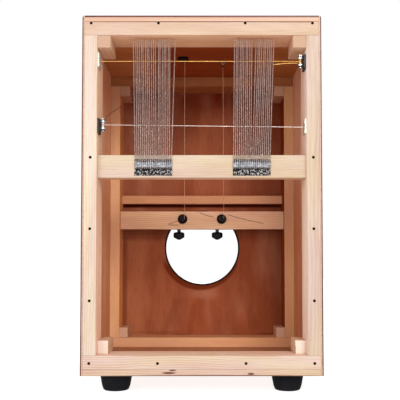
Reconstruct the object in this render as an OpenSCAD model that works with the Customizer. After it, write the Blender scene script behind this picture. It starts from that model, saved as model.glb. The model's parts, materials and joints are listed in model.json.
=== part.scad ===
// Box drum (cajon) with its front plate off: a battened plywood box on rubber feet, with snare
// wires, tensioned strings across the front, and two geared tuners with strings to the ceiling.
// +Z is up, the front faces -Y, and the origin is on the ground under the middle of the box.

/* [Box] */
// Width of the box, left to right
box_w = 300; // [290:1:320]
// Depth of the box, front to back
box_d = 300; // [290:1:320]
// Height of the box without its feet
box_h = 450; // [440:1:480]
// Thickness of the side panels
side_t = 3; // [2:0.5:3]
// Thickness of the top and bottom panels
plate_t = 8; // [7:0.5:9]
// Thickness of the back panel
back_t = 4; // [3:0.5:5]
// Radius of the sound hole
hole_r = 60; // [50:1:62]
// Height of the sound hole's centre above the ground
hole_z = 190; // [185:1:195]

/* [Battens] */
// Depth of all frame battens, front to back
batten_d = 48; // [44:1:50]
// Height of the front rails
front_rail_h = 17; // [15:0.5:18]
// Width of the front stiles
front_stile_w = 16; // [14:0.5:17]
// Height and width of the rear battens
rear_batten_w = 15; // [13:0.5:16]
// Height of the bar that the snares are fixed to
snare_bar_h = 28.6; // [26:0.2:30]
// Height of that bar's centre above the ground
snare_bar_z = 283.3; // [280:0.1:286]
// Height of the bar that holds the tuners
tuner_bar_h = 28.6; // [26:0.2:30]
// Height of that bar's centre above the ground
tuner_bar_z = 233.7; // [232:0.1:236]

/* [Front plate holes] */
// Diameter of the pilot holes for the front plate's screws
pilot_d = 2.6; // [2:0.1:3]
// Depth of the pilot holes
pilot_depth = 20; // [12:1:24]
// Spacing across between the two columns of holes
pilot_span_x = 278; // [274:0.5:280]
// Spacing across between the two middle holes of the top and bottom rows
pilot_mid_x = 109; // [100:1:120]
// Height of the bottom row above the ground
pilot_bottom_z = 38.5; // [37:0.5:40]
// Height of the top row above the ground
pilot_top_z = 463.3; // [462:0.1:463.4]
// Height of the lowest side hole above the ground
pilot_side_z = 115.3; // [112:0.1:118]
// Spacing between the side holes
pilot_side_pitch = 89.2; // [86:0.1:92]

/* [Snares] */
// Number of coiled wires in each fan
snare_count = 20; // [12:1:22]
// Outer diameter of a coiled wire
snare_d = 1.6; // [1.2:0.1:1.8]
// Inner edge of each solder plate, from the middle of the box
snare_plate_x = 38; // [36:0.5:40]
// Width of each solder plate
snare_plate_w = 47.4; // [44:0.1:50]

/* [Front strings] */
// Height of the wound string
wound_z = 417.8; // [415:0.1:419]
// Height of the plain string at its spool
plain_z = 336.7; // [334:0.1:339]
// How much lower the plain string is at its anchor
plain_drop = 3; // [0:0.5:4]
// Diameter of the wound string
wound_d = 1.3; // [1:0.05:1.4]
// Diameter of the plain string
plain_d = 0.7; // [0.5:0.05:0.8]

/* [Tuners] */
// Distance of each tuner post from the middle of the box
post_x = 31.5; // [30:0.5:34]
// Height of the tuner posts
post_z = 235.6; // [234:0.1:237]
// Radius of a tuner post
post_r = 3; // [2.8:0.1:3.2]
// Distance from a post's axis to its worm's axis
worm_offset = 6.6; // [6.6:0.1:7]
// Number of teeth on the worm wheel
wheel_teeth = 14; // [14:1:14]

/* [Feet] */
// Height of the feet
foot_h = 23; // [20:1:26]
// Diameter of a foot at the top
foot_top_d = 42; // [38:1:44]
// Diameter of a foot at the ground
foot_bottom_d = 34; // [30:1:36]
// Distance of each foot's centre from the middle of the box, both ways
foot_offset = 110; // [106:1:112]

/* [Hidden] */
$fn = 48;
eps = 0.01;

// Box planes
front_y = -box_d / 2;
back_y = box_d / 2;
panel_back_y = back_y - back_t;
base_z = foot_h;
top_z = base_z + box_h;
floor_z = base_z + plate_t;
ceiling_z = top_z - plate_t;
wall_x = box_w / 2 - side_t;
front_in_x = wall_x - front_stile_w;
front_low_z = floor_z + front_rail_h;
front_high_z = ceiling_z - front_rail_h;
rear_y = panel_back_y - batten_d;
rear_in_x = wall_x - rear_batten_w;
rear_low_z = floor_z + rear_batten_w;
rear_high_z = ceiling_z - rear_batten_w;

// Corner blocks: [width, height, distance of the front end behind the front plane or rear frame]
block_d = 49;
block_front_high = [16.5, 15.8, 0.5];
block_front_low = [13, 16.7, 18];
block_rear_high = [16, 16, -1];
block_rear_low = [13.5, 16, -1];
bar_recess = 7;

// Stiffener on the back panel
stiffener_z = 262.6;
stiffener_h = 13.4;
stiffener_d = 15;

// Snare bar, plates, tapes and wires
bar_t = 18;
snare_bar_y = front_y + bar_recess;
snare_plate_t = 0.8;
snare_plate_z = 279.4;
snare_plate_h = 12.9;
snare_tape_t = 1;
snare_tape_h = 7.8;
snare_wire_y = snare_bar_y - snare_plate_t - snare_d / 2;
snare_end_z = snare_plate_z + 1.1;
snare_bend_z = snare_plate_z + snare_plate_h;
snare_margin = 0.9;
snare_shift = 0.9;
// Free upper ends of the wires: height, depth, place of the innermost one, lean to the right
snare_top_z = 444.6;
snare_top_y = front_y + 7.5;
snare_top_x = 37.5;
snare_lean = 3.9;
snare_top_pitch = 2.44;
// Wider gaps between the free ends, left fan then right fan: [wires before the gap, extra width]
snare_gaps = [[[1, 4.2], [8, 1.3], [10, 0.8]], [[10, 3.2]]];
// Sideways slips of the free ends
snare_slip = 0.35;

// String hardware on the front stiles
spool_y = -137;
spool_waist_r = 1.6;
spool_flange_r = 3.1;
spool_half_h = 5.4;
spool_flange_h = 1.9;
spool_waist_h = 4.6;
spool_pin_r = 1.2;
running_gap = 0.05;
shoe_t = 2.4;
shoe_h = 13.6;
shoe_low = 11.4;
shoe_y = front_y + 3;
shoe_d = 16;
lug_t = 1.2;
lug_r = 3;
spool_x = front_in_x - shoe_t - 0.2 - spool_flange_r;
anchor_t = 1.8;
anchor_h = 18;
anchor_d = 16;
ball_r = 1.8;
ball_w = 3.2;
ball_depth = 2.2;
ball_pocket_r = 2.6;
small_head_r = 2;
small_head_t = 0.8;
small_shaft_r = 1;
small_shaft_l = 9;
wound_y = spool_y - spool_waist_r - wound_d / 2 - running_gap;
plain_y = spool_y - spool_waist_r - plain_d / 2 - running_gap;

// Loose string tails, from the spool outwards, each as four control points
wound_tail = [[125.2, -133.2, 417.4], [117, -131.5, 418.3], [104, -130.8, 417.6], [91, -130.2, 416.2]];
plain_tail = [[-125, -133.3, 338], [-125.4, -132.8, 348], [-113, -129.5, 356], [-102.3, -127, 363.5]];

// Tuner bar and tuners
tuner_bar_y = 108;
bar_back_y = tuner_bar_y + bar_t;
housing_wall = 1.5;
housing_d = 10;
housing_x0 = -11.2;
housing_x1 = 6.6;
housing_half_h = 8.5;
cover_t = 1.2;
ear_h = 7;
ear_screw_x = 9.6;
wheel_pitch_r = 4.4;
wheel_thread = 0.6;
wheel_slack = 0.2;
wheel_face = 2;
wheel_y = bar_back_y + 6;
wheel_seat_r = 2;
worm_r = 2.2;
worm_turns = 5;
worm_pitch = 2 * PI * wheel_pitch_r / wheel_teeth;
worm_shaft_r = 1.5;
stem_r = 2.9;
bushing_barrel_r = 4.9;
bushing_l = 14;
bushing_flange_r = 7.8;
bushing_dome_h = 5;
post_tip_y = 93.5;
button_z0 = 203.1;
button_h = 12.8;
button_w = 18;
button_t = 9;
inner_string_r = 0.3;
inner_turn_y = 100;
inner_turn_pitch = 0.7;

// Ceiling anchors of the inner strings
ceiling_plate_x = -28;
ceiling_plate_y = 2;
ceiling_left = [-25.6, 9, 462.6];
ceiling_right = [31.2, 9, 458.6];

// ---- Shared shapes ----

// A plain board from its two corners
module board(low, high) translate(low) cube(high - low);

// A straight round rod between two points
module rod(a, b, r, sides = 16) {
  v = b - a;
  l = norm(v);
  translate(a) rotate([0, acos(v[2] / l), atan2(v[1], v[0])]) cylinder(h = l, r = r, $fn = sides);
}

// Direction of a route at its point i, and a ring of points round that place
function unit(v) = v / norm(v);
function route_dir(p, i) = unit(
  (i > 0 ? unit(p[i] - p[i - 1]) : [0, 0, 0])
  + (i < len(p) - 1 ? unit(p[i + 1] - p[i]) : [0, 0, 0]));
function ring(centre, dir, r, sides) =
  let (u = unit(cross(dir, [0, 1, 0])), v = cross(dir, u))
  [for (k = [0 : sides - 1]) centre + r * (cos(360 * k / sides) * u + sin(360 * k / sides) * v)];

// A bent wire through a list of points, none of whose stretches runs along Y
module wire(points, r, sides = 8) {
  last = len(points) - 1;
  polyhedron(
    points = [for (i = [0 : last]) each ring(points[i], route_dir(points, i), r, sides)],
    faces = concat(
      [[for (k = [0 : sides - 1]) k]],
      [for (i = [0 : last - 1]) for (k = [0 : sides - 1])
        let (a = i * sides + k, b = i * sides + (k + 1) % sides) [a, a + sides, b + sides, b]],
      [[for (k = [sides - 1 : -1 : 0]) last * sides + k]]
    )
  );
}

// Points of a smooth curve from four control points
function curve(c, steps) = [for (i = [0 : steps]) let (t = i / steps, u = 1 - t)
  u * u * u * c[0] + 3 * u * u * t * c[1] + 3 * u * t * t * c[2] + t * t * t * c[3]];

// A round pin along Y from y0 to y1, centred at x, z
module pin_y(x, z, y0, y1, r) translate([x, y0, z]) rotate([-90, 0, 0]) cylinder(h = y1 - y0, r = r);

// A pan-head wood screw: the head rests on z = 0 and points up, and the shaft goes down
module wood_screw(head_r, head_t, shaft_r, shaft_l) {
  tip_l = 2 * shaft_r;
  difference() {
    union() {
      cylinder(h = head_t / 2, r = head_r);
      translate([0, 0, head_t / 2]) cylinder(h = head_t / 2, r1 = head_r, r2 = head_r * 0.75);
      translate([0, 0, -shaft_l + tip_l]) cylinder(h = shaft_l - tip_l + eps, r = shaft_r);
      translate([0, 0, -shaft_l]) cylinder(h = tip_l + eps, r1 = 0.2, r2 = shaft_r);
    }
    for (turn = [0, 90]) rotate(turn)
      translate([-head_r * 0.55, -head_r * 0.11, head_t * 0.45])
        cube([head_r * 1.1, head_r * 0.22, head_t]);
  }
}

// Pilot holes for the front plate, as bores that open at the front
module pilot(x, z) pin_y(x, z, front_y - 1, front_y + pilot_depth, pilot_d / 2);

module pilots_in_rails() {
  for (x = [-pilot_span_x, -pilot_mid_x, pilot_mid_x, pilot_span_x] / 2)
    for (z = [pilot_bottom_z, pilot_top_z]) pilot(x, z);
}

module pilots_in_stiles() {
  for (side = [-1, 1])
    for (i = [0 : 2]) pilot(side * pilot_span_x / 2, pilot_side_z + i * pilot_side_pitch);
}

// ---- Box ----

// Outline of a side panel in X and Z, with its upper outer edge rounded over
module side_outline() {
  square([side_t, box_h - side_t]);
  translate([side_t, box_h - side_t]) intersection() {
    circle(r = side_t);
    translate([-side_t, -eps]) square([side_t, side_t + eps]);
  }
}

module side_panel(side) {
  color("saddlebrown")
    translate([side > 0 ? box_w / 2 : -box_w / 2, panel_back_y, base_z])
      mirror([side > 0 ? 1 : 0, 0, 0])
        rotate([90, 0, 0]) linear_extrude(height = panel_back_y - front_y) side_outline();
}

module top_panel() {
  color("saddlebrown") board([-wall_x, front_y, ceiling_z], [wall_x, panel_back_y, top_z]);
}

module bottom_panel() {
  color("burlywood") difference() {
    board([-wall_x, front_y, base_z], [wall_x, panel_back_y, floor_z]);
    foot_screw_holes();
  }
}

module back_panel() {
  color("sienna") difference() {
    board([-box_w / 2, panel_back_y, base_z], [box_w / 2, back_y, top_z]);
    translate([0, panel_back_y - 1, hole_z]) rotate([-90, 0, 0])
      cylinder(h = back_t + 2, r = hole_r, $fn = 96);
  }
}

// ---- Frames ----

module front_rail_top() {
  color("bisque") difference() {
    board([-wall_x, front_y, front_high_z], [wall_x, front_y + batten_d, ceiling_z]);
    pilots_in_rails();
  }
}

module front_rail_bottom() {
  color("bisque") difference() {
    board([-wall_x, front_y, floor_z], [wall_x, front_y + batten_d, front_low_z]);
    pilots_in_rails();
    foot_screw_holes();
  }
}

module front_stile(side) {
  x0 = side > 0 ? front_in_x : -wall_x;
  color("antiquewhite") difference() {
    board([x0, front_y, front_low_z], [x0 + front_stile_w, front_y + batten_d, front_high_z]);
    pilots_in_stiles();
    string_anchor_holes();
    bracket_screw_holes();
  }
}

module rear_rail_top() {
  color("tan") board([-wall_x, rear_y, rear_high_z], [wall_x, panel_back_y, ceiling_z]);
}

module rear_rail_bottom() {
  color("tan") difference() {
    board([-wall_x, rear_y, floor_z], [wall_x, panel_back_y, rear_low_z]);
    foot_screw_holes();
  }
}

module rear_stile(side) {
  x0 = side > 0 ? rear_in_x : -wall_x;
  color("tan")
    board([x0, rear_y, rear_low_z], [x0 + rear_batten_w, panel_back_y, rear_high_z]);
}

// Four blocks in the corners of a frame whose opening runs to in_x, and from low_z to high_z
module corner_blocks(y0, in_x, low_z, high_z, low, high) {
  for (side = [-1, 1]) {
    xl = side > 0 ? in_x - low[0] : -in_x;
    xh = side > 0 ? in_x - high[0] : -in_x;
    translate([xl, y0 + low[2], low_z]) cube([low[0], block_d, low[1]]);
    translate([xh, y0 + high[2], high_z - high[1]]) cube([high[0], block_d, high[1]]);
  }
}

module front_corner_blocks() {
  color("wheat") corner_blocks(front_y, front_in_x, front_low_z, front_high_z,
                               block_front_low, block_front_high);
}

module rear_corner_blocks() {
  color("tan") corner_blocks(rear_y, rear_in_x, rear_low_z, rear_high_z,
                             block_rear_low, block_rear_high);
}

module back_stiffener() {
  color("peru") board([-rear_in_x, panel_back_y - stiffener_d, stiffener_z],
                      [rear_in_x, panel_back_y, stiffener_z + stiffener_h]);
}

module snare_bar() {
  color("bisque") board([-front_in_x, snare_bar_y, snare_bar_z - snare_bar_h / 2],
                        [front_in_x, snare_bar_y + bar_t, snare_bar_z + snare_bar_h / 2]);
}

module tuner_bar() {
  color("burlywood") difference() {
    board([-rear_in_x, tuner_bar_y, tuner_bar_z - tuner_bar_h / 2],
          [rear_in_x, bar_back_y, tuner_bar_z + tuner_bar_h / 2]);
    for (x = [-post_x, post_x]) {
      pin_y(x, post_z, tuner_bar_y - 1, bar_back_y + 1, bushing_barrel_r);
      pin_y(x + ear_screw_x, post_z, bar_back_y - 11, bar_back_y + 1, small_shaft_r);
    }
  }
}

// ---- Snares ----

// Sideways place of wire i at the solder plate, measured from the plate's inner edge
function snare_low(i) =
  snare_margin + i * (snare_plate_w - 2 * snare_margin) / (snare_count - 1);

// Sideways place of wire i's free end, measured from the innermost one
function added(list, k = 0) = k < len(list) ? list[k] + added(list, k + 1) : 0;
function snare_high(side, i) =
  i * snare_top_pitch + snare_slip * sin(137 * i)
  + added([for (gap = snare_gaps[side > 0 ? 1 : 0]) i < gap[0] ? 0 : gap[1]]);

// Left edge of a solder plate and its tape
function snare_plate_left(side) =
  snare_shift + (side > 0 ? snare_plate_x : -snare_plate_x - snare_plate_w);

module snare_wires(side) {
  color("silver") for (i = [0 : snare_count - 1]) {
    xl = snare_shift + side * (snare_plate_x + snare_low(i));
    xh = snare_lean + side * (snare_top_x + snare_high(side, i));
    wire([[xl, snare_wire_y, snare_end_z], [xl, snare_wire_y, snare_bend_z],
          [xh, snare_top_y, snare_top_z]], snare_d / 2, 12);
  }
}

module snare_plates() {
  color("lightgray") for (side = [-1, 1])
    translate([snare_plate_left(side), snare_bar_y - snare_plate_t, snare_plate_z])
      cube([snare_plate_w, snare_plate_t, snare_plate_h]);
}

module snare_tapes() {
  color("dimgray") for (side = [-1, 1])
    translate([snare_plate_left(side), snare_bar_y - snare_tape_t, snare_plate_z - snare_tape_h])
      cube([snare_plate_w, snare_tape_t, snare_tape_h]);
}

// ---- Front strings ----

// A string stretched from its ball end in one stile to the spool on the other.
// side is the spool's side, and the loose tail is a list of points.
module front_string(side, y, z_anchor, z_spool, d, tail) {
  ball_x = -side * (front_in_x + ball_depth);
  translate([ball_x, y, z_anchor]) rotate([90, 0, 0])
    cylinder(h = ball_w, r = ball_r, center = true);
  rod([ball_x, y, z_anchor], [side * spool_x, y, z_spool], d / 2);
  wire(curve(tail, 10), d / 2);
}

module wound_string() {
  color("goldenrod") front_string(1, wound_y, wound_z, wound_z, wound_d, wound_tail);
}

module plain_string() {
  color("silver") front_string(-1, plain_y, plain_z - plain_drop, plain_z, plain_d, plain_tail);
}

// Anchors: [side of the stile, string's y, string's z, string's diameter]
anchor_places = [[-1, wound_y, wound_z, wound_d], [1, plain_y, plain_z - plain_drop, plain_d]];
anchor_screw_y = front_y + 9;
anchor_screw_dz = 5.6;

module string_anchor_holes() {
  for (a = anchor_places) {
    translate([a[0] * (front_in_x - 1), a[1], a[2]]) rotate([0, a[0] * 90, 0])
      cylinder(h = 1 + 2 * ball_depth, r = ball_pocket_r);
    for (dz = [-anchor_screw_dz, anchor_screw_dz])
      translate([a[0] * (front_in_x - 1), anchor_screw_y, a[2] + dz]) rotate([0, a[0] * 90, 0])
        cylinder(h = 12, r = small_shaft_r);
  }
}

module string_anchors() {
  color("whitesmoke") for (a = anchor_places) difference() {
    translate([a[0] > 0 ? front_in_x - anchor_t : -front_in_x, shoe_y, a[2] - anchor_h / 2])
      cube([anchor_t, anchor_d, anchor_h]);
    translate([a[0] * (front_in_x - 3), a[1], a[2]]) rotate([0, a[0] * 90, 0])
      cylinder(h = 6, r = a[3] / 2 + 0.1);
    for (dz = [-anchor_screw_dz, anchor_screw_dz])
      translate([a[0] * (front_in_x - 3), anchor_screw_y, a[2] + dz]) rotate([0, a[0] * 90, 0])
        cylinder(h = 6, r = small_shaft_r + 0.1);
  }
}

module string_anchor_screws() {
  color("silver") for (a = anchor_places) for (dz = [-anchor_screw_dz, anchor_screw_dz])
    translate([a[0] * (front_in_x - anchor_t), anchor_screw_y, a[2] + dz])
      rotate([0, -a[0] * 90, 0])
        wood_screw(small_head_r, small_head_t, small_shaft_r - running_gap, small_shaft_l);
}

// Brackets: [side of the stile, string's z]
bracket_places = [[1, wound_z], [-1, plain_z]];
// Their screws: [y, height from the string]
bracket_screws = [[front_y + 6.5, 4.4], [front_y + 7, -9.2]];

module bracket_screw_holes() {
  for (b = bracket_places) for (c = bracket_screws)
    translate([b[0] * (front_in_x - 1), c[0], b[1] + c[1]]) rotate([0, b[0] * 90, 0])
      cylinder(h = 12, r = small_shaft_r);
}

// Dark shoe with two lugs that carry the spool's pins
module spool_bracket(place) {
  side = place[0];
  z = place[1];
  reach = front_in_x - shoe_t - spool_x;
  color([0.12, 0.12, 0.13]) difference() {
    union() {
      translate([side > 0 ? front_in_x - shoe_t : -front_in_x, shoe_y, z - shoe_low])
        cube([shoe_t, shoe_d, shoe_low + shoe_h / 2]);
      for (end = [0, 1]) {
        lug_z = z - shoe_h / 2 + end * (shoe_h - lug_t);
        translate([side * spool_x, spool_y, lug_z]) cylinder(h = lug_t, r = lug_r);
        translate([side > 0 ? spool_x : -spool_x - reach - eps, spool_y - lug_r, lug_z])
          cube([reach + eps, 2 * lug_r, lug_t]);
      }
    }
    translate([side * spool_x, spool_y, z - shoe_h])
      cylinder(h = 2 * shoe_h, r = spool_pin_r + running_gap);
    for (c = bracket_screws)
      translate([side * (front_in_x - shoe_t - 1), c[0], z + c[1]])
        rotate([0, side * 90, 0]) cylinder(h = 6, r = small_shaft_r + 0.1);
  }
}

module spool_bracket_screws() {
  color("dimgray") for (b = bracket_places) for (c = bracket_screws)
    translate([b[0] * (front_in_x - shoe_t), c[0], b[1] + c[1]])
      rotate([0, -b[0] * 90, 0])
        wood_screw(small_head_r, small_head_t, small_shaft_r - running_gap, small_shaft_l);
}

// Waisted chrome spool with a hexagonal head on top and a rivet head below
module spool(place) {
  pin_l = shoe_h / 2 + 0.2;
  color("white") translate([place[0] * spool_x, spool_y, place[1]]) difference() {
    union() {
      rotate_extrude() polygon([
        [0, -spool_half_h], [spool_flange_r, -spool_half_h],
        [spool_flange_r, -spool_half_h + spool_flange_h], [spool_waist_r, -spool_waist_h / 2],
        [spool_waist_r, spool_waist_h / 2], [spool_flange_r, spool_half_h - spool_flange_h],
        [spool_flange_r, spool_half_h], [0, spool_half_h]
      ]);
      translate([0, 0, -pin_l]) cylinder(h = 2 * pin_l, r = spool_pin_r);
      translate([0, 0, pin_l - eps]) cylinder(h = 1.4, r = 2.3, $fn = 6);
      translate([0, 0, -pin_l - 0.8]) cylinder(h = 0.8 + eps, r = 1.9);
    }
    translate([-0.35, -3, pin_l + 0.8]) cube([0.7, 6, 2]);
  }
}

// Turns of string round a spool or a post: rings side by side around Z.
// On the spools they lie on both sides of the string's straight part.
module turns(core_r, d, pitch, count, first_z) {
  for (i = [0 : count - 1]) translate([0, 0, first_z + i * pitch])
    rotate_extrude() translate([core_r + d / 2, 0]) circle(r = d / 2, $fn = 16);
}

module wound_string_turns() {
  color("goldenrod") for (up = [-1, 1]) translate([spool_x, spool_y, wound_z])
    turns(spool_waist_r + running_gap, wound_d, up * wound_d, 1, 1.1 * up * wound_d);
}

module plain_string_turns() {
  color("silver") for (up = [-1, 1]) translate([-spool_x, spool_y, plain_z])
    turns(spool_waist_r + running_gap, plain_d, 1.1 * up * plain_d, 2, 1.1 * up * plain_d);
}

// ---- Feet ----

// Screw of a foot: height of its head's seat, shaft radius and shaft length
foot_screw_z = 10;
foot_screw_r = 1.95;
foot_screw_l = 34;

module foot_screw_holes() {
  for (x = [-foot_offset, foot_offset]) for (y = [-foot_offset, foot_offset])
    translate([x, y, base_z - 1])
      cylinder(h = foot_screw_z + foot_screw_l + 2 - base_z, r = foot_screw_r + running_gap);
}

// Tapered rubber foot with a rounded lower rim and a recess for its screw
module foot(side_x, side_y) {
  rim_r = 4;
  recess_r = 6;
  bore_r = 2.3;
  low_r = foot_bottom_d / 2;
  color([0.1, 0.1, 0.12]) translate([side_x * foot_offset, side_y * foot_offset, 0])
    rotate_extrude($fn = 64) polygon(concat(
      [[recess_r, 0]],
      [for (a = [0 : 15 : 75]) [low_r - rim_r + rim_r * sin(a), rim_r - rim_r * cos(a)]],
      [[low_r + 0.2, rim_r], [foot_top_d / 2, foot_h - 1], [foot_top_d / 2 - 0.6, foot_h],
       [bore_r, foot_h], [bore_r, foot_screw_z], [recess_r, foot_screw_z]]
    ));
}

module foot_screws() {
  color("gray") for (x = [-foot_offset, foot_offset]) for (y = [-foot_offset, foot_offset])
    translate([x, y, foot_screw_z]) rotate([180, 0, 0])
      wood_screw(4.2, 2.4, foot_screw_r, foot_screw_l);
}

// ---- Tuners (s is -1 for the left one and 1 for the right one, and both are the same hand) ----

module tuner_at(s) translate([s * post_x, 0, post_z]) children();

module tuner_housing(s) {
  inner = housing_half_h - 1.2;
  color([0.13, 0.13, 0.14]) tuner_at(s) difference() {
    union() {
      board([housing_x0, bar_back_y, -housing_half_h],
            [housing_x1, bar_back_y + housing_d, housing_half_h]);
      board([housing_x1 - eps, bar_back_y, -ear_h / 2],
            [ear_screw_x, bar_back_y + housing_wall, ear_h / 2]);
      pin_y(ear_screw_x, 0, bar_back_y, bar_back_y + housing_wall, ear_h / 2);
    }
    board([housing_x0 + 1.2, bar_back_y + housing_wall, -inner],
          [housing_x1 - 1.2, bar_back_y + housing_d + 1, inner]);
    pin_y(0, 0, bar_back_y - 1, bar_back_y + 5, post_r + running_gap);
    pin_y(ear_screw_x, 0, bar_back_y - 1, bar_back_y + 5, small_shaft_r + 0.1);
    translate([-worm_offset, wheel_y, -2 * housing_half_h])
      cylinder(h = 4 * housing_half_h, r = worm_shaft_r + running_gap);
  }
}

// Snap-in rear covers, each with a lip that fits inside its housing
module tuner_covers() {
  y0 = bar_back_y + housing_d;
  lip = 0.8;
  inner = housing_half_h - 1.2 - running_gap;
  xa = housing_x0 + 1.2 + running_gap;
  xb = housing_x1 - 1.2 - running_gap;
  color([0.16, 0.16, 0.17]) for (s = [-1, 1]) tuner_at(s) {
    board([housing_x0, y0, -housing_half_h], [housing_x1, y0 + cover_t, housing_half_h]);
    difference() {
      board([xa, y0 - 1, -inner], [xb, y0 + eps, inner]);
      board([xa + lip, y0 - 2, -inner + lip], [xb - lip, y0, inner - lip]);
    }
  }
}

module tuner_mount_screws() {
  color("gray") for (s = [-1, 1]) tuner_at(s)
    translate([ear_screw_x, bar_back_y + housing_wall, 0]) rotate([-90, 0, 0])
      wood_screw(2.3, 1.2, small_shaft_r - running_gap, 10);
}

// Bushing pressed into the bar, with a domed round flange on the front
module tuner_bushings() {
  rim_h = 1.2;
  bore_r = post_r + running_gap;
  dome_top_r = 4.2;
  color([0.1, 0.1, 0.11]) for (s = [-1, 1]) tuner_at(s)
    translate([0, tuner_bar_y, 0]) rotate([90, 0, 0]) rotate_extrude() polygon(concat(
      [[bore_r, -bushing_l], [bushing_barrel_r - 0.02, -bushing_l], [bushing_barrel_r - 0.02, 0],
       [bushing_flange_r, 0]],
      [for (a = [0 : 15 : 90]) [dome_top_r + (bushing_flange_r - dome_top_r) * cos(a),
                                rim_h + (bushing_dome_h - rim_h) * sin(a)]],
      [[bore_r, bushing_dome_h]]
    ));
}

module tuner_post(s) {
  seat_y = wheel_y - wheel_face / 2;
  color([0.2, 0.2, 0.21]) tuner_at(s) difference() {
    union() {
      pin_y(0, 0, post_tip_y + 0.6, seat_y, post_r);
      translate([0, post_tip_y, 0]) rotate([-90, 0, 0])
        cylinder(h = 0.6 + eps, r1 = post_r - 0.6, r2 = post_r);
      pin_y(0, 0, seat_y - eps, seat_y + wheel_face + eps, wheel_seat_r - running_gap);
      pin_y(0, 0, seat_y + wheel_face, seat_y + wheel_face + 0.8, wheel_seat_r + 0.6);
    }
    translate([-2 * post_r, post_tip_y + 3, 0]) rotate([0, 90, 0])
      cylinder(h = 4 * post_r, r = 0.6);
  }
}

// Worm wheel with rounded teeth that follow a cosine
module worm_wheel(s) {
  steps = 8 * wheel_teeth;
  color("goldenrod") tuner_at(s) translate([0, wheel_y + wheel_face / 2, 0]) rotate([90, 0, 0])
    difference() {
      linear_extrude(height = wheel_face) polygon([
        for (i = [0 : steps - 1])
          let (a = 360 * i / steps,
               r = wheel_pitch_r - wheel_slack + wheel_thread * cos(wheel_teeth * a))
            [r * cos(a), r * sin(a)]
      ]);
      translate([0, 0, -1]) cylinder(h = wheel_face + 2, r = wheel_seat_r);
    }
}

// Worm on its shaft, with the stem that the button is pressed on
module worm_shaft(s) {
  worm_l = worm_turns * worm_pitch;
  stem_top = -housing_half_h - 0.2;
  color("silver") tuner_at(s) translate([-worm_offset, wheel_y, 0]) {
    translate([0, 0, -worm_l / 2])
      linear_extrude(height = worm_l, twist = 360 * worm_turns, slices = 12 * worm_turns, $fn = 16)
        translate([wheel_thread, 0]) circle(r = worm_r);
    translate([0, 0, button_z0 + 4 - post_z])
      cylinder(h = housing_half_h - 0.2 - button_z0 - 4 + post_z, r = worm_shaft_r);
    translate([0, 0, button_z0 + button_h - post_z])
      cylinder(h = stem_top - button_z0 - button_h + post_z, r = stem_r);
  }
}

// Flat button with square shoulders and a blunt point below
module tuner_button(s) {
  half = button_w / 2;
  color([0.08, 0.08, 0.09]) tuner_at(s)
    translate([-worm_offset, wheel_y, button_z0 - post_z]) difference() {
      translate([0, button_t / 2, 0]) rotate([90, 0, 0]) linear_extrude(height = button_t)
        polygon([
          [-2, 0], [2, 0], [4.2, 0.9], [6.6, 2.5], [half, 4.8], [half, button_h - 2.2],
          [half - 0.7, button_h - 1.3], [half - 2.8, button_h - 0.4], [stem_r, button_h],
          [-stem_r, button_h], [2.8 - half, button_h - 0.4], [0.7 - half, button_h - 1.3],
          [-half, button_h - 2.2], [-half, 4.8], [-6.6, 2.5], [-4.2, 0.9]
        ]);
      translate([0, 0, 4 - eps]) cylinder(h = button_h, r = worm_shaft_r + 0.02);
    }
}

// ---- Inner strings ----

module inner_string(s, ceiling_end) {
  x = s * post_x + post_r + inner_string_r + running_gap;
  color("silver") rod(ceiling_end, [x, inner_turn_y - 0.8, post_z - 0.5], inner_string_r);
}

module inner_string_turns(s) {
  color("silver") tuner_at(s) translate([0, inner_turn_y, 0]) rotate([-90, 0, 0])
    turns(post_r, 2 * inner_string_r, inner_turn_pitch, 3, 0);
}

// Dark oval plate under the ceiling, with the hole that holds the left string's end
module ceiling_plate() {
  plate_r = 7.8;
  plate_h = ceiling_z - ceiling_left[2];
  half_l = 4.2;
  color([0.08, 0.08, 0.09]) difference() {
    translate([ceiling_plate_x, ceiling_plate_y, ceiling_left[2]]) {
      for (dy = [-half_l, half_l]) translate([0, dy, 0]) cylinder(h = plate_h, r = plate_r);
      translate([-plate_r, -half_l, 0]) cube([2 * plate_r, 2 * half_l, plate_h]);
    }
    translate([ceiling_left[0], ceiling_left[1], ceiling_z - 4]) cylinder(h = 5, r = 0.8);
  }
}

// Screw eye that the right string is tied to
module ceiling_eye() {
  eye_r = 2.2;
  wire_r = 0.7;
  eye_z = ceiling_right[2] + wire_r + running_gap + eye_r;
  color("silver") translate([ceiling_right[0], ceiling_right[1], 0]) {
    translate([0, 0, eye_z]) rotate([90, 0, 0]) rotate_extrude() translate([eye_r, 0])
      circle(r = wire_r, $fn = 20);
    translate([0, 0, eye_z + eye_r]) cylinder(h = ceiling_z - eye_z - eye_r, r = wire_r);
  }
}

side_panel(-1);  // side_panel_left
side_panel(1);  // side_panel_right
top_panel();
bottom_panel();
back_panel();
front_rail_top();
front_rail_bottom();
front_stile(-1);  // front_stile_left
front_stile(1);  // front_stile_right
rear_rail_top();
rear_rail_bottom();
rear_stile(-1);  // rear_stile_left
rear_stile(1);  // rear_stile_right
front_corner_blocks();
rear_corner_blocks();
back_stiffener();
snare_bar();
tuner_bar();
snare_wires(-1);  // snare_wires_left
snare_wires(1);  // snare_wires_right
snare_plates();
snare_tapes();
wound_string();
plain_string();
string_anchors();
string_anchor_screws();
spool_bracket(bracket_places[0]);  // spool_bracket_upper
spool_bracket(bracket_places[1]);  // spool_bracket_lower
spool_bracket_screws();
spool(bracket_places[0]);  // spool_upper
spool(bracket_places[1]);  // spool_lower
wound_string_turns();
plain_string_turns();
foot(-1, -1);  // foot_front_left
foot(1, -1);  // foot_front_right
foot(-1, 1);  // foot_rear_left
foot(1, 1);  // foot_rear_right
foot_screws();
tuner_housing(-1);  // tuner_housing_left
tuner_housing(1);  // tuner_housing_right
tuner_covers();
tuner_bushings();
tuner_mount_screws();
tuner_post(-1);  // tuner_post_left
tuner_post(1);  // tuner_post_right
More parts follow.
